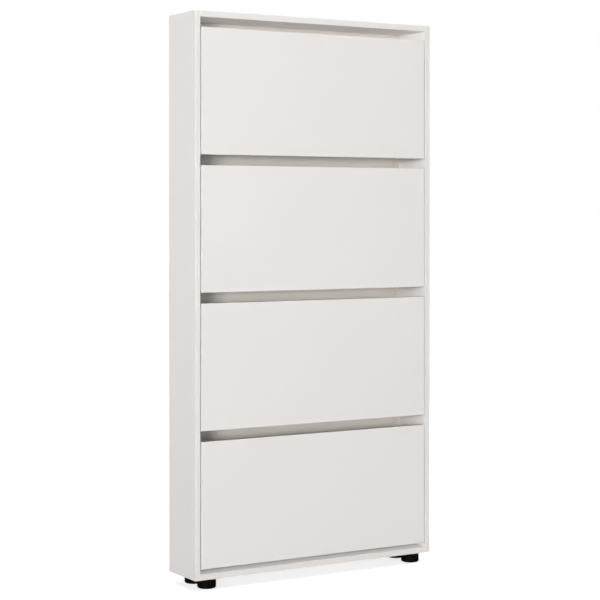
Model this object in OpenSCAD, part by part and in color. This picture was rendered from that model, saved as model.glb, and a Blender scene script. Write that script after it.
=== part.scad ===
// Slim tilt-out shoe cabinet.
// A carcass of melamine-faced boards stands on four round feet and holds four
// flaps. Each flap carries a shoe tray and tips forward on two pins near its
// lower edge. Closed, its tray hangs behind the pins, so its own weight keeps
// it shut. Open, it leans on two pegs.
// The origin is on the floor at the middle of the footprint. X runs along the
// width, the front faces -Y and +Z is up. All sizes are in millimetres.

/* [Carcass] */
// Overall width
cabinet_width = 750; // [600:10:900]
// Overall depth
cabinet_depth = 150; // [145:1:180]
// Height of the carcass without its feet
body_height = 1490; // [1440:5:1600]
// Thickness of the carcass boards and the flap fronts
board = 16; // [15:1:18]
// Thickness of the back sheets
back_sheet = 3; // [2.5:0.5:4]
// Height of each rear rail
rail_height = 70; // [60:1:80]

/* [Flaps] */
// Finger gap between one flap and the next
finger_gap = 28; // [26:1:34]
// Finger gap between the upper flap and the top panel
top_gap = 26; // [22:1:32]
// Running gap under the lowest flap
bottom_gap = 12; // [10:1:16]
// Gap between a flap front and a side panel
side_gap = 3; // [2:0.5:4]
// Height of the pivot above the flap's lower edge
pivot_rise = 55; // [50:1:65]
// Tilt of a fully open flap, in degrees
open_angle = 38; // [30:1:40]

/* [Trays] */
// Thickness of the heel shelf and the tray back
tray_panel = 6; // [5:1:8]
// Radius of the cheeks' rounded upper edge about the pivot
cheek_radius = 215; // [190:1:215]
// Thickness of a cheek's plate
cheek_plate = 4; // [3:0.5:5]
// Diameter of the pivot pins
pin_diameter = 8; // [6:1:8]

/* [Feet] */
// Height of the feet
foot_height = 26; // [20:1:40]
// Diameter of the feet
foot_diameter = 50; // [40:1:50]
// Distance from a side of the cabinet to the middle of a foot
foot_side_inset = 49; // [45:1:80]
// Distance from the front to the middle of a front foot
front_foot_inset = 28; // [26:1:36]
// Distance from the rear to the middle of a rear foot
rear_foot_inset = 50; // [30:1:55]

/* [Wall fixing] */
// Distance between the two wall screws
wall_hole_spacing = 500; // [300:10:560]
// Diameter of the holes for the wall screws
wall_hole_diameter = 5.5; // [4.5:0.5:6.5]

/* [Hidden] */
$fn = 48;
flap_count = 4;
rail_names = ["top_rail", "upper_rail", "middle_rail", "lower_rail"];
flap_parts = ["front", "left_cheek", "right_cheek", "heel_shelf", "tray_back", "pivot_pins", "cheek_screws"];

// Small distances shared by several pieces.
sides = [-1, 1];
fit_clearance = 0.05;    // radial play of a pin in its bush and of a peg in its hole
sheet_play = 0.5;        // play around a back sheet
seat_play = 0.3;         // play around a panel in its channel
back_recess = 1;         // depth of the back sheets below the rear edges of the side panels
eps = 0.01;              // overrun of a cut past the face that it opens

// Planes of the carcass.
front_y = -cabinet_depth / 2;
rear_y = cabinet_depth / 2;
side_inner_x = cabinet_width / 2 - board;
inner_width = 2 * side_inner_x;
body_bottom_z = foot_height;
body_top_z = foot_height + body_height;
top_underside_z = body_top_z - board;
sheet_rear_y = rear_y - back_recess;
sheet_front_y = sheet_rear_y - back_sheet;
rail_front_y = sheet_front_y - board;
panel_depth = sheet_front_y - front_y;

// Flap fronts, counted from the top down.
flap_width = inner_width - 2 * side_gap;
flap_height = (body_height - 2 * board - bottom_gap - top_gap - (flap_count - 1) * finger_gap) / flap_count;
flap_rear_y = front_y + board;
function flap_bottom_z(flap) =
    body_bottom_z + board + bottom_gap + (flap_count - flap) * (flap_height + finger_gap);
function flap_top_z(flap) = flap_bottom_z(flap) + flap_height;

// Pivots. The boss just touches the rear face of the flap front.
boss_radius = 8;
pivot_y = flap_rear_y + boss_radius;
function pivot_z(flap) = flap_bottom_z(flap) + pivot_rise;

// Rails. The top one hangs under the top panel, each other one stands behind a finger gap.
rail_cover = 8;          // how far a rail reaches above the finger gap in front of it
function rail_top_z(rail) = rail == 1 ? top_underside_z : flap_top_z(rail) + finger_gap + rail_cover;
function rail_bottom_z(rail) = rail_top_z(rail) - rail_height;
rail_middle_y = (rail_front_y + sheet_front_y) / 2;
sheet_joint_z = (rail_bottom_z(3) + rail_top_z(3)) / 2;

// Pivot fittings, measured inward along X from the inner face of a side panel.
bush_radius = 6;
bush_depth = 12;         // length of a bush inside the side panel
bush_flange = 1.5;
bush_flange_radius = 9;
boss_play = 1;           // gap between the bush's flange and the cheek's boss
boss_outer = bush_flange + boss_play;
boss_length = 12.5;
cheek_outer = 7;         // outer face of the cheek's plate
cheek_inner = cheek_outer + cheek_plate;
pin_in_bush = 10.5;
pin_in_boss = 10.5;
pin_chamfer = 0.6;

// Cheek and tray, measured from the pivot: rear along Y and up along Z.
cheek_front = flap_rear_y - pivot_y;
cheek_rear = sheet_front_y - 5 - pivot_y;
cheek_tail = -24;        // lower end of the cheek behind the flap front
cheek_tail_width = 6;
cheek_heel = 8;          // height of the cheek's rear lower corner
flange_width = 20;
flange_thickness = 4;
channel_rib = 3;         // thickness of the ribs that hold the shelf and the tray back
channel_depth = 8;       // how far those ribs stand out from the plate
shelf_bottom = 12;
shelf_top = shelf_bottom + tray_panel;
tray_back_rear = cheek_rear - channel_rib;
tray_back_front = tray_back_rear - tray_panel;
tray_back_top = cheek_radius * 0.8;
tray_panel_width = 2 * (side_inner_x - cheek_inner - seat_play);
stiffener_angles = [22, 45, 68];
stiffener_width = 2.4;
stiffener_height = 2;
cheek_screw_heights = [-14, 90, 190];

// Stop pegs, measured from the pivot. A tilted flap's rear face lies against the open pegs.
stop_reach = 12;         // how far a peg stands out of the side panel
stop_play = 0.3;         // gap between a flap and its peg at either end of the travel
open_stop_radius = 6;
open_stop_z = -42;
open_stop_y = (cheek_front + open_stop_radius + stop_play - open_stop_z * sin(open_angle)) / cos(open_angle);
closed_stop_radius = 4.5;
closed_stop_z = flap_height - pivot_rise - 25;
closed_stop_y = cheek_front + closed_stop_radius + stop_play;
peg_hole_radius = 4;
peg_hole_depth = 10;

// Feet.
foot_edge_radius = 5;
foot_recess_radius = 7;
foot_recess_depth = 12;
foot_hole_radius = 2.6;
foot_x = cabinet_width / 2 - foot_side_inset;
front_foot_y = front_y + front_foot_inset;
rear_foot_y = rear_y - rear_foot_inset;

// Knock-down fittings that join each cross board to the side panels.
cam_radius = 7.4;
cam_hole_radius = 7.5;
cam_depth = 12.5;
cam_distance = 34;       // from the board's end to the middle of the cam
bolt_radius = 3.4;
bolt_hole_radius = 4;
bolt_thread_radius = 2.5;
bolt_thread_length = 11;
bolt_neck_radius = 2;
bolt_neck_length = 3;
bolt_head_length = 3;
dowel_radius = 4;
dowel_length = 30;
dowel_hole_depth = 15.5; // in the cross board
dowel_side_depth = 10;   // in the side panel
panel_dowel_offset = 45; // from the cam bolt to either dowel of the top and bottom panels
rail_fitting_offset = 16; // from the middle of a rail up to its cam bolt and down to its dowel

// Each cross board as [y, z] of its cam bolt, and the turn about X that points its cam's mouth outward.
// Those of the bottom panel lie between the feet, and the top panel is drilled to match.
panel_cam_y = (front_foot_y + rear_foot_y) / 2;
panel_joints = [
    [panel_cam_y, body_top_z - board / 2, 180],
    [panel_cam_y, body_bottom_z + board / 2, 180]
];
rail_joints = [
    for (rail = [1:flap_count])
        [rail_middle_y, (rail_bottom_z(rail) + rail_top_z(rail)) / 2 + rail_fitting_offset, -90]
];
cam_joints = concat(panel_joints, rail_joints);
dowel_joints = concat(
    [for (joint = panel_joints) for (side = sides) [joint[0] + side * panel_dowel_offset, joint[1]]],
    [for (joint = rail_joints) [joint[0], joint[1] - 2 * rail_fitting_offset]]
);

// Screws and nails.
screw_head_height = 2.2;
foot_screw_radius = 2.4;
foot_screw_head_radius = 4.6;
foot_screw_length = 27;
small_screw_radius = 1.75;
small_screw_head_radius = 3.4;
small_screw_length = 14;
small_hole_radius = 2;
nail_radius = 0.8;
nail_head_radius = 1.8;
nail_head_height = 0.8;
nail_length = 15;
nails_per_row = 5;
nail_edge = 50;          // from the end of a row to its first nail

// Wall brackets, on the front of the top rail.
bracket_width = 60;
bracket_height = 30;
bracket_thickness = 2;
bracket_screw_spacing = 40;
bracket_z = top_underside_z - 48;
wall_clearance_radius = wall_hole_diameter / 2 + 1.5;

// A block from its lowest to its highest corner.
module block(low, high) {
    translate(low) cube(high - low);
}

// A round bar along X that starts at x and runs length towards +X.
module x_bar(radius, x, length) {
    translate([x, 0, 0]) rotate([0, 90, 0]) cylinder(r = radius, h = length);
}

// A round bar along Y that starts at y and runs length towards +Y.
module y_bar(radius, y, length) {
    translate([0, y, 0]) rotate([-90, 0, 0]) cylinder(r = radius, h = length);
}

// Children are drawn as for the right side. On the left they are mirrored.
module on_side(side) {
    mirror([side < 0 ? 1 : 0, 0, 0]) children();
}

// Children are drawn with their origin on the inner face of a side panel, +X outward.
module at_side(side, y, z) {
    on_side(side) translate([side_inner_x, y, z]) children();
}

module at_pivot(side, flap) {
    at_side(side, pivot_y, pivot_z(flap)) children();
}

module at_open_stop(side, flap) {
    at_side(side, pivot_y + open_stop_y, pivot_z(flap) + open_stop_z) children();
}

module at_closed_stop(side, flap) {
    at_side(side, pivot_y + closed_stop_y, pivot_z(flap) + closed_stop_z) children();
}

// Holes that one side panel is drilled with, from its inner face.
module side_panel_holes(side) {
    for (flap = [1:flap_count]) {
        at_pivot(side, flap) x_bar(bush_radius + fit_clearance, -eps, bush_depth + 0.5);
        at_open_stop(side, flap) x_bar(peg_hole_radius + fit_clearance, -eps, peg_hole_depth + 0.5);
        at_closed_stop(side, flap) x_bar(peg_hole_radius + fit_clearance, -eps, peg_hole_depth + 0.5);
    }
    for (joint = cam_joints) {
        at_side(side, joint[0], joint[1])
            x_bar(bolt_thread_radius + fit_clearance, -eps, bolt_thread_length + 0.5);
    }
    for (joint = dowel_joints) {
        at_side(side, joint[0], joint[1])
            x_bar(dowel_radius + fit_clearance, -eps, dowel_side_depth + 0.5);
    }
}

module side_panel(side) {
    color("white")
    difference() {
        on_side(side)
            block([side_inner_x, front_y, body_bottom_z], [cabinet_width / 2, rear_y, body_top_z]);
        side_panel_holes(side);
    }
}

// Cam pockets, bolt holes and dowel holes at both ends of a cross board.
module cross_board_holes(cams, dowels) {
    for (side = sides) {
        for (cam = cams) {
            at_side(side, cam[0], cam[1]) {
                x_bar(bolt_hole_radius, -cam_distance, cam_distance + eps);
                translate([-cam_distance, 0, 0])
                    rotate([cam[2], 0, 0])
                        translate([0, 0, board / 2 - cam_depth])
                            cylinder(r = cam_hole_radius, h = cam_depth + eps);
            }
        }
        for (dowel = dowels) {
            at_side(side, dowel[0], dowel[1])
                x_bar(dowel_radius + fit_clearance, -dowel_hole_depth, dowel_hole_depth + eps);
        }
    }
}

module top_panel() {
    color("white")
    difference() {
        block([-side_inner_x, front_y, top_underside_z], [side_inner_x, sheet_front_y, body_top_z]);
        cross_board_holes([panel_joints[0]], [dowel_joints[0], dowel_joints[1]]);
    }
}

module bottom_panel() {
    color("white")
    difference() {
        block(
            [-side_inner_x, front_y, body_bottom_z],
            [side_inner_x, sheet_front_y, body_bottom_z + board]
        );
        cross_board_holes([panel_joints[1]], [dowel_joints[2], dowel_joints[3]]);
    }
}

module at_wall_screws() {
    for (side = sides) {
        translate([side * wall_hole_spacing / 2, 0, bracket_z]) children();
    }
}

module rail(number) {
    color("gainsboro")
    difference() {
        block(
            [-side_inner_x, rail_front_y, rail_bottom_z(number)],
            [side_inner_x, sheet_front_y, rail_top_z(number)]
        );
        cross_board_holes([rail_joints[number - 1]], [dowel_joints[3 + number]]);
        if (number == 1) {
            at_wall_screws() y_bar(wall_clearance_radius, rail_front_y - eps, board + 2 * eps);
        }
    }
}

module back_sheet_between(low_z, high_z) {
    color("gainsboro")
    difference() {
        block(
            [-side_inner_x + sheet_play, sheet_front_y, low_z],
            [side_inner_x - sheet_play, sheet_rear_y, high_z]
        );
        at_wall_screws() y_bar(wall_clearance_radius, sheet_front_y - eps, back_sheet + 2 * eps);
    }
}

// Heights of the nail rows: into the two panels, the rails, and both sheets' edges on the middle rail.
nail_row_heights = [
    body_top_z - board / 2,
    rail_bottom_z(2) + rail_height / 2,
    sheet_joint_z + board / 2,
    sheet_joint_z - board / 2,
    rail_bottom_z(4) + rail_height / 2,
    body_bottom_z + board / 2
];

module back_sheet_nails() {
    row_start = -side_inner_x + nail_edge;
    nail_spacing = (inner_width - 2 * nail_edge) / (nails_per_row - 1);
    color("silver")
    for (row_z = nail_row_heights) {
        for (nail = [0:nails_per_row - 1]) {
            translate([row_start + nail * nail_spacing, sheet_rear_y, row_z]) {
                y_bar(nail_radius, -nail_length, nail_length);
                y_bar(nail_head_radius, 0, nail_head_height);
            }
        }
    }
}

// A cam with a side notch that swallows the bolt's head, and a cross slot in its face.
module cam_lock() {
    notch = 2 * bolt_hole_radius;
    slot_width = 1.6;
    slot_length = 9;
    slot_depth = 2.5;
    translate([0, 0, board / 2 - cam_depth])
    difference() {
        cylinder(r = cam_radius, h = cam_depth - 0.2);
        translate([-2, -notch / 2, cam_depth - board / 2 - notch / 2])
            cube([cam_radius + 3, notch, notch]);
        for (turn = [45, 135]) {
            rotate([0, 0, turn])
                translate([-slot_length / 2, -slot_width / 2, cam_depth - 0.2 - slot_depth])
                    cube([slot_length, slot_width, slot_depth + eps]);
        }
    }
}

module cam_locks() {
    color("darkgray")
    for (side = sides) for (cam = cam_joints) {
        at_side(side, cam[0], cam[1])
            translate([-cam_distance, 0, 0]) rotate([cam[2], 0, 0]) cam_lock();
    }
}

// A bolt whose thread is in the side panel and whose head is in the cam's notch.
module cam_bolt() {
    shank_end = cam_distance - bolt_neck_length - 1;
    x_bar(bolt_thread_radius, 0, bolt_thread_length);
    x_bar(bolt_radius, -shank_end + cam_radius, shank_end - cam_radius);
    x_bar(bolt_neck_radius, -shank_end, cam_radius + eps);
    x_bar(bolt_radius, -shank_end - bolt_head_length + eps, bolt_head_length);
}

module cam_bolts() {
    color("silver")
    for (side = sides) for (cam = cam_joints) {
        at_side(side, cam[0], cam[1]) cam_bolt();
    }
}

module dowels() {
    slack = 0.3;
    color("burlywood")
    for (side = sides) for (dowel = dowel_joints) {
        at_side(side, dowel[0], dowel[1])
            x_bar(dowel_radius, -dowel_hole_depth + slack, dowel_hole_depth + dowel_side_depth - 2 * slack);
    }
}

// A flanged bush, pressed into the side panel.
module pivot_bushes() {
    color("whitesmoke")
    for (side = sides) for (flap = [1:flap_count]) {
        at_pivot(side, flap)
        difference() {
            union() {
                x_bar(bush_radius, -eps, bush_depth);
                x_bar(bush_flange_radius, -bush_flange, bush_flange);
            }
            x_bar(pin_diameter / 2 + fit_clearance, -bush_flange - eps, bush_depth + bush_flange + 1);
        }
    }
}

// A peg with a spigot in the side panel and a soft round head inside the cabinet.
module stop_peg(head_radius) {
    x_bar(peg_hole_radius, -eps, peg_hole_depth);
    x_bar(head_radius, -stop_reach, stop_reach);
}

module open_stop_pegs() {
    color("dimgray")
    for (side = sides) for (flap = [1:flap_count]) {
        at_open_stop(side, flap) stop_peg(open_stop_radius);
    }
}

module closed_stop_pegs() {
    color("dimgray")
    for (side = sides) for (flap = [1:flap_count]) {
        at_closed_stop(side, flap) stop_peg(closed_stop_radius);
    }
}

// A round puck with a rounded lower edge, a screw hole and a recess for the screw's head.
module foot(x, y) {
    foot_radius = foot_diameter / 2;
    color("black")
    translate([x, y, 0])
    difference() {
        rotate_extrude() {
            translate([0, foot_edge_radius]) square([foot_radius, foot_height - foot_edge_radius]);
            square([foot_radius - foot_edge_radius, foot_edge_radius + eps]);
            intersection() {
                translate([foot_radius - foot_edge_radius, foot_edge_radius])
                    circle(r = foot_edge_radius);
                square([foot_radius, foot_edge_radius + eps]);
            }
        }
        translate([0, 0, -eps]) cylinder(r = foot_recess_radius, h = foot_recess_depth + eps);
        cylinder(r = foot_hole_radius, h = foot_height + eps);
    }
}

// A pan-head screw along +Z with its head's flat underside at the origin.
module screw(radius, head_radius, length) {
    head_edge = 0.6;
    cylinder(r = radius, h = length);
    translate([0, 0, -screw_head_height]) {
        cylinder(r1 = head_radius - head_edge, r2 = head_radius, h = head_edge);
        translate([0, 0, head_edge]) cylinder(r = head_radius, h = screw_head_height - head_edge);
    }
}

module foot_screws() {
    color("silver")
    for (side = sides) for (y = [front_foot_y, rear_foot_y]) {
        translate([side * foot_x, y, foot_recess_depth])
            screw(foot_screw_radius, foot_screw_head_radius, foot_screw_length);
    }
}

// A flat steel plate that takes one wall screw and is held by two small screws.
module wall_bracket(side) {
    color("silver")
    translate([side * wall_hole_spacing / 2, 0, bracket_z])
    difference() {
        block(
            [-bracket_width / 2, rail_front_y - bracket_thickness, -bracket_height / 2],
            [bracket_width / 2, rail_front_y, bracket_height / 2]
        );
        y_bar(wall_hole_diameter / 2, rail_front_y - bracket_thickness - eps, bracket_thickness + 2 * eps);
        for (end = sides) {
            translate([end * bracket_screw_spacing / 2, 0, 0])
                y_bar(small_hole_radius, rail_front_y - bracket_thickness - eps, bracket_thickness + 2 * eps);
        }
    }
}

module bracket_screws() {
    color("silver")
    at_wall_screws() {
        for (end = sides) {
            translate([end * bracket_screw_spacing / 2, rail_front_y - bracket_thickness, 0])
                rotate([-90, 0, 0])
                    screw(small_screw_radius, small_screw_head_radius, small_screw_length);
        }
    }
}

module flap_front(flap) {
    color("white")
    block(
        [-flap_width / 2, front_y, flap_bottom_z(flap)],
        [flap_width / 2, flap_rear_y, flap_top_z(flap)]
    );
}

// Outline of the cheek's plate in the YZ plane: a sector about the pivot with a sloping lower edge.
module cheek_outline() {
    intersection() {
        circle(r = cheek_radius);
        polygon([
            [cheek_front, cheek_tail],
            [cheek_front + cheek_tail_width, cheek_tail],
            [cheek_rear, cheek_heel],
            [cheek_rear, cheek_radius],
            [cheek_front, cheek_radius]
        ]);
    }
}

// Ribs on the inner face of the plate that hold the heel shelf and the tray back.
module cheek_channels() {
    inner = -cheek_inner - channel_depth;
    outer = -cheek_inner + eps;
    shelf_front = cheek_front + flange_thickness;
    ribs_top = tray_back_top - 4;
    block([inner, shelf_front, shelf_bottom - channel_rib], [outer, cheek_rear, shelf_bottom]);
    block([inner, shelf_front, shelf_top], [outer, tray_back_front, shelf_top + channel_rib]);
    block([inner, tray_back_front - channel_rib, shelf_top], [outer, tray_back_front, ribs_top]);
    block([inner, tray_back_rear, shelf_bottom - channel_rib], [outer, cheek_rear, ribs_top]);
}

// Low ribs on the outer face that run from the boss towards the rounded edge.
module cheek_stiffeners() {
    intersection() {
        for (angle = stiffener_angles) {
            rotate([angle, 0, 0])
                block(
                    [-cheek_outer - eps, 0, -stiffener_width / 2],
                    [-cheek_outer + stiffener_height, cheek_radius, stiffener_width / 2]
                );
        }
        rotate([90, 0, 90])
            translate([0, 0, -cheek_outer - 1])
                linear_extrude(stiffener_height + 2) cheek_outline();
    }
}

module cheek_body() {
    rotate([90, 0, 90])
        translate([0, 0, -cheek_inner])
            linear_extrude(cheek_plate) cheek_outline();
    x_bar(boss_radius, -boss_outer - boss_length, boss_length);
    block(
        [-cheek_outer - flange_width, cheek_front, cheek_tail],
        [-cheek_inner + eps, cheek_front + flange_thickness, cheek_radius - 8]
    );
    cheek_channels();
    cheek_stiffeners();
}

module flap_cheek(side, flap) {
    color("whitesmoke")
    at_pivot(side, flap)
    difference() {
        cheek_body();
        x_bar(pin_diameter / 2 + 0.02, -boss_outer - pin_in_boss, pin_in_boss + eps);
        for (height = cheek_screw_heights) {
            translate([-cheek_outer - flange_width / 2 - 3, 0, height])
                y_bar(small_hole_radius, cheek_front - eps, flange_thickness + 2 * eps);
        }
    }
}

module flap_cheek_screws(flap) {
    color("silver")
    for (side = sides) for (height = cheek_screw_heights) {
        at_pivot(side, flap)
            translate([-cheek_outer - flange_width / 2 - 3, cheek_front + flange_thickness, height])
                rotate([90, 0, 0])
                    screw(small_screw_radius, small_screw_head_radius, small_screw_length);
    }
}

module flap_pivot_pins(flap) {
    radius = pin_diameter / 2;
    length = boss_outer + pin_in_boss + pin_in_bush;
    color("silver")
    for (side = sides) {
        at_pivot(side, flap)
            translate([-boss_outer - pin_in_boss, 0, 0])
                rotate([0, 90, 0]) {
                    cylinder(r = radius, h = length - pin_chamfer);
                    translate([0, 0, length - pin_chamfer])
                        cylinder(r1 = radius, r2 = radius - pin_chamfer, h = pin_chamfer);
                }
    }
}

module flap_heel_shelf(flap) {
    color("white")
    translate([0, pivot_y, pivot_z(flap)])
    difference() {
        block(
            [-tray_panel_width / 2, cheek_front + seat_play, shelf_bottom],
            [tray_panel_width / 2, tray_back_front - seat_play, shelf_top]
        );
        // Corners cut away round the cheeks' flanges.
        for (side = sides) {
            on_side(side)
                block(
                    [side_inner_x - cheek_outer - flange_width - seat_play, cheek_front - eps, shelf_bottom - 1],
                    [side_inner_x, cheek_front + flange_thickness + seat_play, shelf_top + 1]
                );
        }
    }
}

module flap_tray_back(flap) {
    color("white")
    translate([0, pivot_y, pivot_z(flap)])
        block(
            [-tray_panel_width / 2, tray_back_front, shelf_bottom],
            [tray_panel_width / 2, tray_back_rear, tray_back_top]
        );
}

module flap_part(flap, part) {
    if (part == "front") flap_front(flap);
    if (part == "left_cheek") flap_cheek(-1, flap);
    if (part == "right_cheek") flap_cheek(1, flap);
    if (part == "heel_shelf") flap_heel_shelf(flap);
    if (part == "tray_back") flap_tray_back(flap);
    if (part == "pivot_pins") flap_pivot_pins(flap);
    if (part == "cheek_screws") flap_cheek_screws(flap);
}

side_panel(-1);  // left_side_panel
side_panel(1);  // right_side_panel
top_panel();
bottom_panel();
for (number = [1:flap_count]) rail(number);
back_sheet_between(sheet_joint_z + sheet_play, body_top_z);  // upper_back_sheet
back_sheet_between(body_bottom_z, sheet_joint_z - sheet_play);  // lower_back_sheet
back_sheet_nails();
cam_locks();
cam_bolts();
dowels();
pivot_bushes();
open_stop_pegs();
closed_stop_pegs();
foot(-foot_x, front_foot_y);  // front_left_foot
foot(foot_x, front_foot_y);  // front_right_foot
foot(-foot_x, rear_foot_y);  // rear_left_foot
foot(foot_x, rear_foot_y);  // rear_right_foot
foot_screws();
wall_bracket(-1);  // left_wall_bracket
wall_bracket(1);  // right_wall_bracket
bracket_screws();
for (flap = [1:flap_count]) for (part = flap_parts) {
    flap_part(flap, part);
}
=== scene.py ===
"""The looks of the slim tilt-out shoe cabinet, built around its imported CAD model.

Every length is in metres and every place is in the CAD's own frame: X runs along the width, the front
faces -Y and +Z is up. Places, and the sizes that the CAD sets, come from its nodes' boxes.
"""
import math

import bmesh
import bpy
from mathutils import Matrix, Vector


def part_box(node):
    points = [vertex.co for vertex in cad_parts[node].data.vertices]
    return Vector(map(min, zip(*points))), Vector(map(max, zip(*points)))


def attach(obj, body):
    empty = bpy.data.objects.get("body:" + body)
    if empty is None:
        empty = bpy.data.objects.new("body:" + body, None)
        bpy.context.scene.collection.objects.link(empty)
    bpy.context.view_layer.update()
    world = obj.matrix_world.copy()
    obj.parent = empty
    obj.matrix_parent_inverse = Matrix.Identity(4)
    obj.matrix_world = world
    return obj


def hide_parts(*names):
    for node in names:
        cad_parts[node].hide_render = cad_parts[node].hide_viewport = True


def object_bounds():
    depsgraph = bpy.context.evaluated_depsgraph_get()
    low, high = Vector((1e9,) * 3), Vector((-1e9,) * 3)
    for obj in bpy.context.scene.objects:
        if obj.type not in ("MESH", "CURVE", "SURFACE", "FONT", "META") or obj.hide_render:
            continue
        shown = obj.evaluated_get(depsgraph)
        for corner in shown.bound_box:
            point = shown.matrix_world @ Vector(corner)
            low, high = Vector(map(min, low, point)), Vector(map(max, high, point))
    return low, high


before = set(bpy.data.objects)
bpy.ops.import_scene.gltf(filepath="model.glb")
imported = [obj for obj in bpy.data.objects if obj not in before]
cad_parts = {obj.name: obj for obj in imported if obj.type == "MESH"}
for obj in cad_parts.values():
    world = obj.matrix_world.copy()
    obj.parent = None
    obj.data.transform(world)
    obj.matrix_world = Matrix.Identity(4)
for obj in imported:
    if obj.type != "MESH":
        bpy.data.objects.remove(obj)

cad_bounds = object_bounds()
MM = 0.001
FLAPS = (1, 2, 3, 4)
SIDES = ("left", "right")
SHARP_ANGLE = math.radians(35)    # soften rounds sharper edges, and make_piece keeps them crisp


# --------------------------------------------------------------------------------------------------
# Materials
# --------------------------------------------------------------------------------------------------

class Look:
    """A procedural material: one principled shader, and short calls for the nodes that feed it."""

    def __init__(self, name, roughness, **fixed):
        self.material = bpy.data.materials.new(name)
        self.material.use_nodes = True
        self.tree = self.material.node_tree
        self.shader = self.tree.nodes["Principled BSDF"]
        self.shader.inputs["Roughness"].default_value = roughness
        for socket, value in fixed.items():
            self.shader.inputs[socket.replace("_", " ")].default_value = value
        self.space = self.tree.nodes.new("ShaderNodeTexCoord")

    def link(self, source, target):
        self.tree.links.new(source, target)

    def feed(self, socket, value):
        """Links a node's output into a socket, or writes a plain number there."""
        if isinstance(value, bpy.types.NodeSocket):
            self.link(value, socket)
        else:
            socket.default_value = value

    def scaled(self, scale, along=(1, 1, 1)):
        """Object coordinates, scaled to one unit per grain of 1/scale metres."""
        mapping = self.tree.nodes.new("ShaderNodeMapping")
        mapping.inputs["Scale"].default_value = [scale * part for part in along]
        self.link(self.space.outputs["Object"], mapping.inputs["Vector"])
        return mapping.outputs["Vector"]

    def noise(self, scale, detail=2.0, along=(1, 1, 1)):
        """Cloudy noise from 0 to 1, with grains of about 1/scale metres."""
        node = self.tree.nodes.new("ShaderNodeTexNoise")
        node.inputs["Scale"].default_value = 1.0
        node.inputs["Detail"].default_value = detail
        self.link(self.scaled(scale, along), node.inputs["Vector"])
        return node.outputs["Fac"]

    def cells(self, scale, along=(1, 1, 1)):
        """Flat-toned cells of about 1/scale metres, each with one random value from 0 to 1."""
        node = self.tree.nodes.new("ShaderNodeTexVoronoi")
        node.inputs["Scale"].default_value = 1.0
        self.link(self.scaled(scale, along), node.inputs["Vector"])
        colour_parts = self.tree.nodes.new("ShaderNodeSeparateColor")
        self.link(node.outputs["Color"], colour_parts.inputs["Color"])
        return colour_parts.outputs["Red"]

    def math(self, operation, first, second=0.0, clamp=False):
        node = self.tree.nodes.new("ShaderNodeMath")
        node.operation = operation
        node.use_clamp = clamp
        self.feed(node.inputs[0], first)
        self.feed(node.inputs[1], second)
        return node.outputs[0]

    def ramp(self, value, low, high, to_low=0.0, to_high=1.0):
        """value from low to high becomes to_low to to_high, smoothly and no further."""
        node = self.tree.nodes.new("ShaderNodeMapRange")
        node.interpolation_type = "SMOOTHSTEP"
        self.feed(node.inputs["Value"], value)
        node.inputs["From Min"].default_value = low
        node.inputs["From Max"].default_value = high
        node.inputs["To Min"].default_value = to_low
        node.inputs["To Max"].default_value = to_high
        return node.outputs["Result"]

    def mix(self, share, first, second):
        """first where share is 0, second where it is 1, as colours."""
        node = self.tree.nodes.new("ShaderNodeMix")
        node.data_type = "RGBA"
        share_input = node.inputs[0]
        colour_inputs = (node.inputs[6], node.inputs[7])
        colour_output = node.outputs[2]
        self.feed(share_input, share)
        for socket, colour in zip(colour_inputs, (first, second)):
            self.feed(socket, colour if isinstance(colour, bpy.types.NodeSocket) else (*colour, 1.0))
        return colour_output

    def normal_parts(self):
        """The surface's own normal as three outputs, in the piece's frame."""
        node = self.tree.nodes.new("ShaderNodeSeparateXYZ")
        self.link(self.space.outputs["Normal"], node.inputs[0])
        return node.outputs

    def bump(self, height, depth, under=None):
        """A bump of that depth in metres, laid over an earlier one if under is given."""
        node = self.tree.nodes.new("ShaderNodeBump")
        node.inputs["Distance"].default_value = depth
        self.link(height, node.inputs["Height"])
        if under is not None:
            self.link(under, node.inputs["Normal"])
        return node.outputs["Normal"]

    def finish(self, colour, roughness, normal):
        """Feeds the shader and hands back the finished material."""
        self.link(colour, self.shader.inputs["Base Color"])
        self.link(roughness, self.shader.inputs["Roughness"])
        self.link(normal, self.shader.inputs["Normal"])
        return self.material


SQUARE_ON = (0.93, 0.995)     # how far a normal's part must reach for the surface to look along that axis


def melamine(name, face_axis, face_white, raw_rear=False):
    """Melamine-faced board. Its faces look along face_axis, its other sides are edge bands, and its rear edge
    may be left as raw chipboard."""
    band_white = [0.985 * part for part in face_white]
    worn_white = [0.91 * part for part in face_white]
    look = Look(name, 0.45, IOR=1.47)
    own_normal = look.normal_parts()
    parts = {axis: look.math("ABSOLUTE", own_normal[axis]) for axis in "XYZ"}
    face = look.ramp(parts[face_axis], *SQUARE_ON)
    squareness = look.math("MAXIMUM", look.math("MAXIMUM", parts["X"], parts["Y"]), parts["Z"])
    rounding = look.ramp(squareness, 0.90, 0.995, 1.0, 0.0)

    cloud = look.noise(5.0, 3.0)
    pearl = look.noise(900.0, 1.5)
    rubbed = look.ramp(look.noise(38.0, 4.0), 0.48, 0.66)
    white = look.mix(face, band_white, face_white)
    white = look.mix(look.ramp(cloud, 0.3, 0.7, 0.0, 0.35), white, band_white)
    white = look.mix(look.math("MULTIPLY", rounding, rubbed), white, worn_white)
    roughness = look.ramp(cloud, 0.3, 0.7, 0.40, 0.48)
    roughness = look.math("ADD", roughness, look.math("MULTIPLY", rounding, 0.10))

    normal = look.bump(look.noise(14.0, 1.0), 0.12 * MM)
    normal = look.bump(pearl, 0.012 * MM, normal)
    if raw_rear:
        rear = look.ramp(own_normal["Y"], *SQUARE_ON)
        white, roughness, normal = chipboard(look, rear, white, roughness, normal)
    return look.finish(white, roughness, normal)


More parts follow.
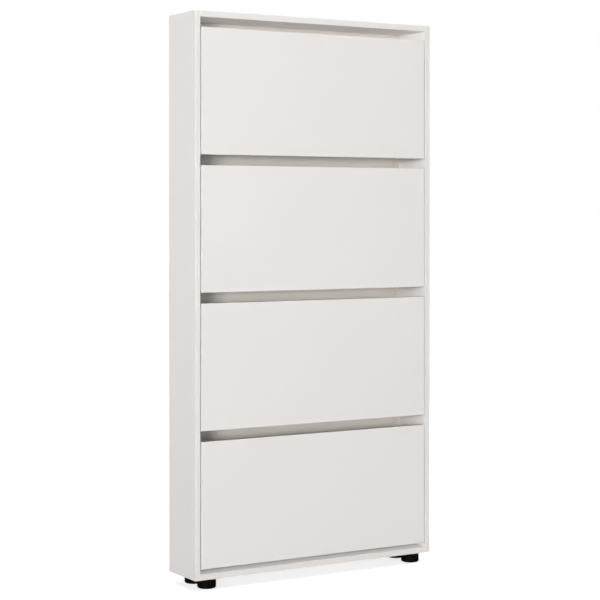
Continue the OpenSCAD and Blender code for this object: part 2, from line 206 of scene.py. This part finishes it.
def chipboard(look, where, colour, roughness, normal):
    """Raw particleboard where the mask says so: fine upright chips of mixed tone in a coarse, matt core."""
    upright = (1, 1, 0.35)
    large = look.cells(900.0, along=upright)
    small = look.cells(2300.0, along=upright)
    tone = look.math("ADD", look.math("MULTIPLY", large, 0.45), look.math("MULTIPLY", small, 0.35))
    tone = look.math("ADD", tone, look.math("MULTIPLY", look.noise(1600.0, 4.0, along=upright), 0.20))
    chip_colour = look.mix(look.ramp(tone, 0.15, 0.85), (0.38, 0.26, 0.15), (0.66, 0.51, 0.34))
    pores = look.ramp(look.noise(1300.0, 2.0), 0.64, 0.70)
    chip_colour = look.mix(pores, chip_colour, (0.20, 0.125, 0.065))
    colour = look.mix(where, colour, chip_colour)
    roughness = look.math("ADD", roughness, look.math("MULTIPLY", where, 0.45), clamp=True)
    depth = look.math("MULTIPLY", look.math("SUBTRACT", tone, pores), where)
    return colour, roughness, look.bump(depth, 0.25 * MM, normal)


def painted_fibreboard():
    """Rolled white paint on fibreboard, with the roller's fine stipple."""
    look = Look("tray_paint", 0.5, IOR=1.45)
    cloud = look.noise(9.0, 3.0)
    stipple = look.noise(520.0, 2.0)
    white = look.mix(look.ramp(cloud, 0.3, 0.7), (0.775, 0.762, 0.742), (0.745, 0.730, 0.708))
    roughness = look.ramp(stipple, 0.3, 0.7, 0.46, 0.58)
    return look.finish(white, roughness, look.bump(stipple, 0.05 * MM))


def hardboard():
    """Thin hardboard: white lacquer on the inner face, brown fibre with a fine screen pattern on the rear."""
    look = Look("back_hardboard", 0.6, IOR=1.45)
    rear = look.ramp(look.normal_parts()["Y"], 0.2, 0.8)
    fibre = look.noise(900.0, 5.0, along=(1.0, 1.0, 0.5))
    cloud = look.noise(7.0, 3.0)
    brown = look.mix(look.ramp(fibre, 0.30, 0.70), (0.205, 0.122, 0.066), (0.340, 0.218, 0.126))
    brown = look.mix(look.ramp(cloud, 0.35, 0.65, 0.0, 0.35), brown, (0.235, 0.146, 0.082))
    lacquer = look.mix(cloud, (0.745, 0.730, 0.708), (0.720, 0.705, 0.682))
    colour = look.mix(rear, lacquer, brown)
    roughness = look.ramp(rear, 0.0, 1.0, 0.48, 0.86)
    mesh_pitch = 1.8 * MM
    weave = look.tree.nodes.new("ShaderNodeSeparateXYZ")
    look.link(look.scaled(2 * math.pi / mesh_pitch), weave.inputs[0])
    waves = [look.math("SINE", weave.outputs[axis]) for axis in "XZ"]
    screen = look.math("MULTIPLY", *waves)
    normal = look.bump(look.math("MULTIPLY", screen, rear), 0.05 * MM)
    normal = look.bump(look.math("MULTIPLY", fibre, rear), 0.10 * MM, normal)
    return look.finish(colour, roughness, normal)


def moulded_plastic(name, dark, light, roughness, grain_depth, **fixed):
    """Injection-moulded plastic with an even, fine spark-eroded grain."""
    look = Look(name, roughness, IOR=1.49, **fixed)
    grain = look.noise(1500.0, 2.0)
    cloud = look.noise(22.0, 3.0)
    colour = look.mix(look.ramp(cloud, 0.3, 0.7), dark, light)
    fine_part = look.ramp(grain, 0.3, 0.7, -0.05, 0.05)
    broad_part = look.ramp(cloud, 0.3, 0.7, roughness, roughness + 0.05)
    return look.finish(colour, look.math("ADD", fine_part, broad_part), look.bump(grain, grain_depth))


def rubber():
    """Soft grey rubber with a dusty bloom."""
    look = Look("grey_rubber", 0.8, IOR=1.5)
    bloom = look.noise(300.0, 4.0)
    colour = look.mix(look.ramp(bloom, 0.35, 0.65), (0.060, 0.060, 0.062), (0.088, 0.088, 0.090))
    return look.finish(colour, look.ramp(bloom, 0.3, 0.7, 0.72, 0.88), look.bump(bloom, 0.03 * MM))


def zinc_steel():
    """Bright zinc-plated steel with fine drawn streaks along X and a cloudy passivated tone."""
    look = Look("zinc_steel", 0.3, Metallic=1.0)
    streaks = look.noise(2400.0, 3.0, along=(0.04, 1, 1))
    cloud = look.noise(120.0, 3.0)
    colour = look.mix(look.ramp(cloud, 0.3, 0.7), (0.56, 0.57, 0.60), (0.70, 0.70, 0.69))
    drawn = look.ramp(streaks, 0.3, 0.7, 0.26, 0.33)
    clouded = look.ramp(cloud, 0.4, 0.8, 0.0, 0.10)
    return look.finish(colour, look.math("ADD", drawn, clouded), look.bump(streaks, 0.0015 * MM))


def beech():
    """Turned beech with short flecks along the grain."""
    look = Look("beech", 0.6, IOR=1.45)
    grain = look.noise(700.0, 4.0, along=(0.06, 1, 1))
    fleck = look.ramp(look.noise(1600.0, 1.0, along=(0.10, 1, 1)), 0.60, 0.72)
    colour = look.mix(look.ramp(grain, 0.3, 0.7), (0.50, 0.31, 0.165), (0.66, 0.46, 0.27))
    colour = look.mix(fleck, colour, (0.36, 0.20, 0.10))
    return look.finish(colour, look.ramp(grain, 0.3, 0.7, 0.52, 0.68), look.bump(grain, 0.04 * MM))


WHITE_PLASTIC = moulded_plastic(
    "white_plastic",
    dark=(0.745, 0.742, 0.730),
    light=(0.785, 0.782, 0.770),
    roughness=0.36,
    grain_depth=0.015 * MM,
    Subsurface_Weight=0.08,
    Subsurface_Scale=2 * MM
)
BLACK_PLASTIC = moulded_plastic(
    "black_plastic",
    dark=(0.0016, 0.0016, 0.0017),
    light=(0.0024, 0.0024, 0.0026),
    roughness=0.55,
    grain_depth=0.02 * MM,
    Specular_IOR_Level=0.05
)
WHITE = (0.850, 0.819, 0.795)
# The rails are white board. Their cream tone is painted warm shade: a warmer white that stands in for the
# warmer light inside the finger gaps, where the rails are seen.
WARM_GAP_SHADE_WHITE = (0.890, 0.833, 0.772)
CARCASS_SIDE = melamine("carcass_side", "X", WHITE, raw_rear=True)
CARCASS_SHELF = melamine("carcass_shelf", "Z", WHITE, raw_rear=True)
CARCASS_RAIL_WARM_SHADE = melamine("carcass_rail_warm_shade", "Y", WARM_GAP_SHADE_WHITE)
FLAP_BOARD = melamine("flap_board", "Y", WHITE)
TRAY_PAINT = painted_fibreboard()
HARDBOARD = hardboard()
RUBBER = rubber()
ZINC = zinc_steel()
BEECH = beech()


# --------------------------------------------------------------------------------------------------
# CAD nodes that stay: cleaned up, softly rounded and dressed
# --------------------------------------------------------------------------------------------------

def soften(piece, radius):
    """Joins the CAD mesh's split corners and rounds its sharp edges, by modifiers only."""
    weld = piece.modifiers.new("weld", "WELD")
    weld.merge_threshold = 0.005 * MM
    merge = piece.modifiers.new("merge_flats", "DECIMATE")
    merge.decimate_type = "DISSOLVE"
    merge.angle_limit = math.radians(0.5)
    bevel = piece.modifiers.new("round_edges", "BEVEL")
    bevel.width = radius
    bevel.segments = 2
    bevel.limit_method = "ANGLE"
    bevel.angle_limit = SHARP_ANGLE
    bevel.use_clamp_overlap = False
    bevel.harden_normals = True
    shade = piece.modifiers.new("even_shading", "WEIGHTED_NORMAL")
    shade.keep_sharp = True


def dress(node, material, radius=0.0):
    """Gives a CAD node its material, and rounded edges if radius says so."""
    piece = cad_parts[node]
    piece.data.materials.clear()
    piece.data.materials.append(material)
    if radius:
        soften(piece, radius)


BOARD_EDGE = 0.9 * MM
TRAY_EDGE = 0.5 * MM
CHEEK_EDGE = 0.4 * MM
BUSH_EDGE = 0.3 * MM

for name in ("left_side_panel", "right_side_panel"):
    dress(name, CARCASS_SIDE, BOARD_EDGE)
for name in ("top_panel", "bottom_panel"):
    dress(name, CARCASS_SHELF, BOARD_EDGE)
for name in ("top_rail", "upper_rail", "middle_rail", "lower_rail"):
    dress(name, CARCASS_RAIL_WARM_SHADE, BOARD_EDGE)
for name in ("upper_back_sheet", "lower_back_sheet"):
    dress(name, HARDBOARD)
for name in ("cam_locks", "cam_bolts"):
    dress(name, ZINC)
dress("pivot_bushes", WHITE_PLASTIC, BUSH_EDGE)
dress("dowels", BEECH)

for flap in FLAPS:
    dress(f"flap_{flap}_front", FLAP_BOARD, BOARD_EDGE)
    dress(f"flap_{flap}_heel_shelf", TRAY_PAINT, TRAY_EDGE)
    dress(f"flap_{flap}_tray_back", TRAY_PAINT, TRAY_EDGE)
    dress(f"flap_{flap}_pivot_pins", ZINC)
    for side in SIDES:
        dress(f"flap_{flap}_{side}_cheek", WHITE_PLASTIC, CHEEK_EDGE)


# --------------------------------------------------------------------------------------------------
# Finer pieces that stand for CAD nodes: screws, nails, pegs, feet and brackets
# --------------------------------------------------------------------------------------------------

def make_piece(name, mesh, material):
    """Turns a bmesh into a scene object of that name, smooth except at its sharp edges, and frees it."""
    bmesh.ops.recalc_face_normals(mesh, faces=mesh.faces)
    for face in mesh.faces:
        face.smooth = True
    for edge in mesh.edges:
        edge.smooth = edge.calc_face_angle(0.0) < SHARP_ANGLE
    data = bpy.data.meshes.new(name)
    mesh.to_mesh(data)
    mesh.free()
    piece = bpy.data.objects.new(name, data)
    bpy.context.scene.collection.objects.link(piece)
    data.materials.append(material)
    return piece


def stand_for(node, mesh, material, body="carcass"):
    """A finer piece that rides on a body in place of a CAD node, which it hides, and is named after that
    node.
    """
    piece = make_piece(f"{node}_detail", mesh, material)
    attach(piece, body)
    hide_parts(node)
    return piece


def axis_at(point, direction, turn=0.0):
    """The frame whose origin is at point and whose +Z looks along direction, turned about that axis."""
    facing = Vector(direction).to_track_quat("Z", "Y").to_matrix().to_4x4()
    return Matrix.Translation(point) @ facing @ Matrix.Rotation(turn, 4, "Z")


def even_angles(count):
    return [2 * math.pi * step / count for step in range(count)]


def ring(place, angles, radii, height):
    """A closed ring of points round place's Z axis, where height(radius) is a point's Z."""
    return [
        place @ Vector((radius * math.cos(angle), radius * math.sin(angle), height(radius)))
        for angle, radius in zip(angles, radii)
    ]


def loft(mesh, rings, closed=False):
    """Bridges rings of equally many points. A closed loft joins its last ring to its first, and an open one
    is capped."""
    loops = [[mesh.verts.new(point) for point in points] for points in rings]
    pairs = list(zip(loops, loops[1:]))
    if closed:
        pairs.append((loops[-1], loops[0]))
    for first, second in pairs:
        for index in range(len(first)):
            mesh.faces.new((first[index - 1], first[index], second[index], second[index - 1]))
    if not closed:
        mesh.faces.new(loops[0])
        mesh.faces.new(loops[-1])


def turned(mesh, place, profile, steps=32, closed=False):
    """A solid of revolution from its profile of (radius, z) points."""
    angles = even_angles(steps)
    rings = [ring(place, angles, [radius] * steps, lambda _, z=z: z) for radius, z in profile]
    loft(mesh, rings, closed)


def quarter_round(radius, z, edge, inward_first, steps=5):
    """Profile points of a rounded corner at (radius, z). edge is its size, negative where z is the lower
    end."""
    points = []
    for step in range(steps + 1):
        angle = math.pi / 2 * step / steps
        along = abs(edge) * (1 - math.cos(angle))
        points.append((radius - abs(edge) * (1 - math.sin(angle)), z - math.copysign(along, edge)))
    return points if inward_first else points[::-1]


TINY = 1e-6      # keeps a division from failing at an angle that lies along an arm of the cross


def cross_outline(angles, reach, half_width):
    """Distance from the middle to the edge of a cross recess at each angle."""
    radii = []
    for angle in angles:
        across = max(abs(math.cos(angle)), TINY)
        along = max(abs(math.sin(angle)), TINY)
        in_one_arm = min(reach / across, half_width / along)
        in_other_arm = min(half_width / across, reach / along)
        radii.append(max(in_one_arm, in_other_arm))
    return radii


def pan_screw(mesh, place, head_radius, head_height, shank_radius, length):
    """A pan-head screw with a cross recess. place is at the head's underside, and its +Z runs down the
    shank."""
    reach = 0.62 * head_radius
    half_width = 0.13 * head_radius
    corner = math.atan2(half_width, reach)
    corners = [
        quarter * math.pi / 2 + offset
        for quarter in range(4)
        for offset in (-corner, corner, math.pi / 4)
    ]
    angles = sorted({round(angle % (2 * math.pi), 6) for angle in corners + even_angles(24)})
    rim = cross_outline(angles, reach, half_width)
    recess_floor = cross_outline(angles, 0.55 * reach, 0.5 * half_width)
    crown = 0.30 * head_height

    def dome(radius):
        return -head_height + crown * (radius / head_radius) ** 2

    def level(z):
        return lambda _: z

    rings = [
        ring(place, angles, recess_floor, level(-0.35 * head_height)),
        ring(place, angles, rim, dome)
    ]
    for share in (0.3, 0.65, 0.9):
        blend = [(1 - share) * inner + share * head_radius for inner in rim]
        rings.append(ring(place, angles, blend, dome))
    for radius, z in (
        (head_radius, -0.55 * head_height),
        (head_radius, -0.10 * head_height),
        (0.96 * head_radius, 0.0),
        (shank_radius, 0.0),
        (shank_radius, length - 1.2 * shank_radius),
        (0.15 * shank_radius, length),
    ):
        rings.append(ring(place, angles, [radius] * len(angles), level(z)))
    loft(mesh, rings)


def middle_of(node):
    low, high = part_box(node)
    return (low + high) / 2


GOLDEN_ANGLE = 2.4       # radians between the turns at which one screw head and the next have stopped
# Screws: head radius, head height, shank radius and length under the head.
SMALL_SCREW = (3.4 * MM, 2.2 * MM, 1.75 * MM, 14 * MM)
FOOT_SCREW = (4.6 * MM, 2.2 * MM, 2.4 * MM, 27 * MM)
MIDDLE_SCREW_RISE = 90 * MM       # of the middle cheek screw above the pivot
BRACKET_SCREW_OFFSET = 20 * MM    # to either side of the bracket's own wall hole
BRACKET_SCREW_HOLE = 2.0 * MM     # radius
WALL_HOLE = 2.75 * MM             # radius
PLATE_EDGE = 0.3 * MM
OPEN_PEG_DROP = 42 * MM           # from the pivot down to the peg that an open flap leans on
CLOSED_PEG_DROP = 25 * MM         # from a flap's top edge down to the peg behind it


def screws(node, body, size, heads, direction):
    """Screws of one size whose heads' undersides are at the given points."""
    mesh = bmesh.new()
    for index, head in enumerate(heads):
        pan_screw(mesh, axis_at(head, direction, GOLDEN_ANGLE * index), *size)
    stand_for(node, mesh, ZINC, body)


def cheek_screws(flap):
    """Three screws up each cheek's flange, driven forward into the flap front."""
    node = f"flap_{flap}_cheek_screws"
    low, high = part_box(node)
    head_radius, head_height = SMALL_SCREW[:2]
    pivot_z = middle_of(f"flap_{flap}_pivot_pins").z
    heads = [
        (x, high.y - head_height, z)
        for x in (low.x + head_radius, high.x - head_radius)
        for z in (low.z + head_radius, pivot_z + MIDDLE_SCREW_RISE, high.z - head_radius)
    ]
    screws(node, f"flap_{flap}", SMALL_SCREW, heads, (0, -1, 0))


def bracket_screws():
    """Two screws through each bracket into the top rail."""
    heads = []
    for side in SIDES:
        middle = middle_of(f"{side}_wall_bracket")
        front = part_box(f"{side}_wall_bracket")[0].y
        for offset in (-BRACKET_SCREW_OFFSET, BRACKET_SCREW_OFFSET):
            heads.append((middle.x + offset, front, middle.z))
    screws("bracket_screws", "carcass", SMALL_SCREW, heads, (0, 1, 0))


FEET = ("front_left_foot", "front_right_foot", "rear_left_foot", "rear_right_foot")
FOOT_RECESS = 12 * MM


def foot_screws():
    """One screw up through the middle of each foot."""
    heads = []
    for foot in FEET:
        middle = middle_of(foot)
        heads.append((middle.x, middle.y, FOOT_RECESS))
    screws("foot_screws", "carcass", FOOT_SCREW, heads, (0, 0, 1))


def foot(node):
    """A moulded puck with a rounded tread, a thin parting line, and a recess for its screw."""
    low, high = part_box(node)
    middle = middle_of(node)
    radius = (high.x - low.x) / 2
    screw_hole = 2.6 * MM
    recess = 7 * MM
    chamfer = 0.5 * MM
    tread_edge = 5 * MM
    top_edge = 0.8 * MM
    line_z = 0.80 * high.z
    line_half_width = 0.3 * MM
    line_depth = 0.25 * MM
    profile = [(screw_hole, FOOT_RECESS), (recess, FOOT_RECESS), (recess, chamfer), (recess + chamfer, 0.0)]
    profile += quarter_round(radius, 0.0, -tread_edge, True, 8)
    profile += [(radius, line_z - line_half_width), (radius - line_depth, line_z)]
    profile += [(radius, line_z + line_half_width)]
    profile += quarter_round(radius, high.z, top_edge, False)
    profile += [(screw_hole, high.z)]
    mesh = bmesh.new()
    turned(mesh, Matrix.Translation((middle.x, middle.y, 0.0)), profile, 64, closed=True)
    stand_for(node, mesh, BLACK_PLASTIC)


def nails():
    """Domed nails through the back sheets, in rows along the panels and rails that hold them."""
    low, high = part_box("back_sheet_nails")
    head_radius = 1.8 * MM
    sheet_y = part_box("upper_back_sheet")[1].y
    half_joint = 0.5 * MM
    joint_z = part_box("upper_back_sheet")[0].z - half_joint
    from_joint = 8 * MM
    rows = [middle_of(node).z for node in ("top_panel", "upper_rail", "lower_rail", "bottom_panel")]
    rows += [joint_z + from_joint, joint_z - from_joint]
    row_start, row_end = low.x + head_radius, high.x - head_radius
    per_row = 5
    shank_radius = 0.8 * MM
    profile = [
        (0.3 * MM, high.y - sheet_y),
        (0.9 * MM, 0.70 * MM),
        (1.5 * MM, 0.45 * MM),
        (head_radius, 0.15 * MM),
        (head_radius, 0.0),
        (shank_radius, 0.0),
        (shank_radius, -13.5 * MM),
        (0.1 * MM, -15 * MM)
    ]
    mesh = bmesh.new()
    for z in rows:
        for index in range(per_row):
            x = row_start + (row_end - row_start) * index / (per_row - 1)
            turned(mesh, axis_at((x, sheet_y, z), (0, 1, 0)), profile, 20)
    stand_for("back_sheet_nails", mesh, ZINC)


def stop_pegs(node, heights):
    """Rubber pegs with a rounded end, each on a spigot in the side panel."""
    low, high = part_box(node)
    inner_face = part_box("right_side_panel")[0].x
    head_radius = (high.y - low.y) / 2
    reach = 12 * MM
    spigot_radius = 4 * MM
    chamfer = 0.3 * MM
    profile = [(3.4 * MM, -10 * MM), (spigot_radius, -9.4 * MM), (spigot_radius, 0.0)]
    profile += [(head_radius - chamfer, 0.0), (head_radius, chamfer)]
    profile += quarter_round(head_radius, reach, 2.2 * MM, False, 6)
    mesh = bmesh.new()
    for toward in (-1, 1):
        for z in heights:
            turned(mesh, axis_at((toward * inner_face, middle_of(node).y, z), (-toward, 0, 0)), profile)
    stand_for(node, mesh, RUBBER)


def wall_bracket(side):
    """A punched steel plate with rounded corners and three holes."""
    node = f"{side}_wall_bracket"
    low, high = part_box(node)
    middle = (low + high) / 2
    corner = 4 * MM
    corner_steps = 6
    half_width, half_height = (high.x - low.x) / 2, (high.z - low.z) / 2
    outline = []
    for turn, across, up in ((0, 1, 1), (1, -1, 1), (2, -1, -1), (3, 1, -1)):
        for step in range(corner_steps + 1):
            angle = math.pi / 2 * (turn + step / corner_steps)
            outline.append((
                across * (half_width - corner) + corner * math.cos(angle),
                up * (half_height - corner) + corner * math.sin(angle)
            ))
    holes = [
        (0.0, WALL_HOLE),
        (-BRACKET_SCREW_OFFSET, BRACKET_SCREW_HOLE),
        (BRACKET_SCREW_OFFSET, BRACKET_SCREW_HOLE)
    ]
    contours = [outline] + [
        [(x + radius * math.cos(angle), radius * math.sin(angle)) for angle in even_angles(24)]
        for x, radius in holes
    ]
    mesh = bmesh.new()
    edges = []
    for contour in contours:
        corners = [mesh.verts.new((middle.x + x, low.y, middle.z + z)) for x, z in contour]
        edges += [mesh.edges.new((corners[index - 1], corners[index])) for index in range(len(corners))]
    faces = bmesh.ops.triangle_fill(mesh, use_beauty=True, edges=edges)["geom"]
    front = [item for item in faces if isinstance(item, bmesh.types.BMFace)]
    grown = bmesh.ops.extrude_face_region(mesh, geom=front)["geom"]
    moved = [item for item in grown if isinstance(item, bmesh.types.BMVert)]
    bmesh.ops.translate(mesh, verts=moved, vec=(0.0, high.y - low.y, 0.0))
    soften(stand_for(node, mesh, ZINC), PLATE_EDGE)


for flap in FLAPS:
    cheek_screws(flap)
bracket_screws()
foot_screws()
for name in FEET:
    foot(name)
nails()
stop_pegs("open_stop_pegs", [middle_of(f"flap_{flap}_pivot_pins").z - OPEN_PEG_DROP for flap in FLAPS])
stop_pegs("closed_stop_pegs", [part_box(f"flap_{flap}_front")[1].z - CLOSED_PEG_DROP for flap in FLAPS])
for side in SIDES:
    wall_bracket(side)


# --------------------------------------------------------------------------------------------------
# Studio: floor, light and camera
# --------------------------------------------------------------------------------------------------

def studio_floor():
    """A wide sheet of pale paper. The camera sees it nearly white, with a painted contact shadow that makes
    it a little darker close to the cabinet. The light that it casts grows with the distance from the cabinet."""
    half_size = 40.0
    corners = ((-1, -1), (1, -1), (1, 1), (-1, 1))
    mesh = bmesh.new()
    mesh.faces.new([mesh.verts.new((x * half_size, y * half_size, 0.0)) for x, y in corners])
    look = Look("studio_paper", 0.9, Emission_Color=(1.0, 1.0, 1.0, 1.0))
    fleck = look.noise(60.0, 4.0)
    white = look.mix(look.ramp(fleck, 0.3, 0.7), (0.56, 0.559, 0.557), (0.59, 0.589, 0.587))
    look.finish(white, look.ramp(fleck, 0.3, 0.7, 0.88, 0.95), look.bump(fleck, 0.02 * MM))

    # How far a point lies outside the cabinet's footprint: the larger of its distances past the sides and
    # past the front or rear.
    place = look.tree.nodes.new("ShaderNodeSeparateXYZ")
    look.link(look.space.outputs["Object"], place.inputs[0])
    past = [
        look.math("SUBTRACT", look.math("ABSOLUTE", place.outputs[axis]), cad_bounds[1][axis])
        for axis in (0, 1)
    ]
    distance = look.math("MAXIMUM", past[0], past[1])
    cast = look.ramp(distance, 0.6, 4.5, 0.0, 0.46)
    # To the camera the paper glows from 0.76 next to the cabinet up to 1.0 at 0.6 m out: a painted contact
    # shadow round the base.
    camera_glow_with_painted_shadow = look.ramp(distance, 0.0, 0.6, 0.76, 1.0)
    rays = look.tree.nodes.new("ShaderNodeLightPath")
    extra = look.math("MULTIPLY", look.math("SUBTRACT", camera_glow_with_painted_shadow, cast), rays.outputs["Is Camera Ray"])
    look.link(look.math("ADD", cast, extra), look.shader.inputs["Emission Strength"])
    make_piece("studio_floor", mesh, look.material)


def area_light(name, width, height, power):
    """A rectangle of white light that the camera doesn't see. It shines along its own -Z."""
    light = bpy.data.lights.new(name, "AREA")
    light.shape = "RECTANGLE"
    light.size = width
    light.size_y = height
    light.energy = power
    lamp = bpy.data.objects.new(name, light)
    lamp.visible_camera = False
    bpy.context.scene.collection.objects.link(lamp)
    return lamp


def softbox(name, azimuth, elevation, distance, size, power, aim_height=0.8, spread=180.0):
    """A softbox aimed at the cabinet's middle axis, with its angles in degrees and its power in watts.
    Azimuth 0 stands in front and -90 to the left. spread is the full angle that its grid lets through."""
    aim = Vector((0.0, 0.0, aim_height))
    turn, tilt = math.radians(azimuth), math.radians(elevation)
    away = Vector((math.sin(turn) * math.cos(tilt), -math.cos(turn) * math.cos(tilt), math.sin(tilt)))
    lamp = area_light(name, *size, power)
    lamp.data.spread = math.radians(spread)
    lamp.location = aim + distance * away
    lamp.rotation_euler = (-away).to_track_quat("-Z", "Y").to_euler()


GAP_FILL_SPREAD = math.radians(80)


def gap_fill(name, z, depth, facing_up, power):
    """A faint strip of light inside a shallow gap, across the flap's whole width. It makes the gap's white
    faces brighter than the studio's own lights do."""
    low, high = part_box("flap_1_front")
    lamp = area_light(name, high.x - low.x, depth, power)
    lamp.data.spread = GAP_FILL_SPREAD
    lamp.location = (0.0, low.y + depth / 2, z)
    lamp.rotation_euler.x = math.pi if facing_up else 0.0


def studio_backdrop():
    """White to the camera, and only a dim glow to the cabinet."""
    world = bpy.data.worlds.new("studio")
    bpy.context.scene.world = world
    world.use_nodes = True
    nodes = world.node_tree.nodes
    links = world.node_tree.links
    rays = nodes.new("ShaderNodeLightPath")
    strength = nodes.new("ShaderNodeMapRange")
    strength.inputs["To Min"].default_value = 0.04
    strength.inputs["To Max"].default_value = 1.0
    links.new(rays.outputs["Is Camera Ray"], strength.inputs["Value"])
    links.new(strength.outputs["Result"], nodes["Background"].inputs["Strength"])
    nodes["Background"].inputs["Color"].default_value = (1.0, 1.0, 1.0, 1.0)


def studio_light():
    """Three far key lights that reach into the finger gaps and fall off a little towards the floor, a high
    fill, an overhead and a rear fill, and two strips inside the top and bottom gaps."""
    softbox("left_key", -75, 1.5, 12.0, (3.0, 1.0), 11.0, aim_height=1.30, spread=30.0)
    softbox("key", -44, 0.75, 12.0, (3.0, 2.7), 180.0, aim_height=1.25, spread=80.0)
    softbox("right_key", 18, 0.75, 12.0, (3.0, 2.7), 41.0, aim_height=1.25, spread=80.0)
    softbox("high_fill", -25, 9.0, 12.0, (4.0, 1.5), 43.0)
    softbox("overhead", 0, 90.0, 4.0, (1.6, 1.0), 10.0, aim_height=1.0, spread=50.0)
    softbox("rear_fill", 140, 20.0, 4.0, (2.0, 2.0), 55.0)
    above_top_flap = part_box("flap_1_front")[1].z + 2 * MM
    below_bottom_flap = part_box("flap_4_front")[0].z - 1 * MM
    gap_fill("top_gap_fill", above_top_flap, 120 * MM, True, 0.068)
    gap_fill("bottom_gap_fill", below_bottom_flap, 45 * MM, False, 0.037)


def photo_camera():
    """A level camera at the cabinet's front left, with the frame shifted down to hold the whole cabinet."""
    data = bpy.data.cameras.new("camera")
    camera = bpy.data.objects.new("camera", data)
    bpy.context.scene.collection.objects.link(camera)
    bpy.context.scene.camera = camera
    data.sensor_width = 36.0
    data.lens = 102.2
    data.shift_y = -0.1465
    camera.location = (-2.445, -4.012, 0.989)
    level = math.radians(90.0)
    turned_right = math.radians(-31.26)
    camera.rotation_euler = (level, 0.0, turned_right)


studio_floor()
studio_backdrop()
studio_light()
photo_camera()
bpy.context.scene.view_settings.view_transform = "Standard"
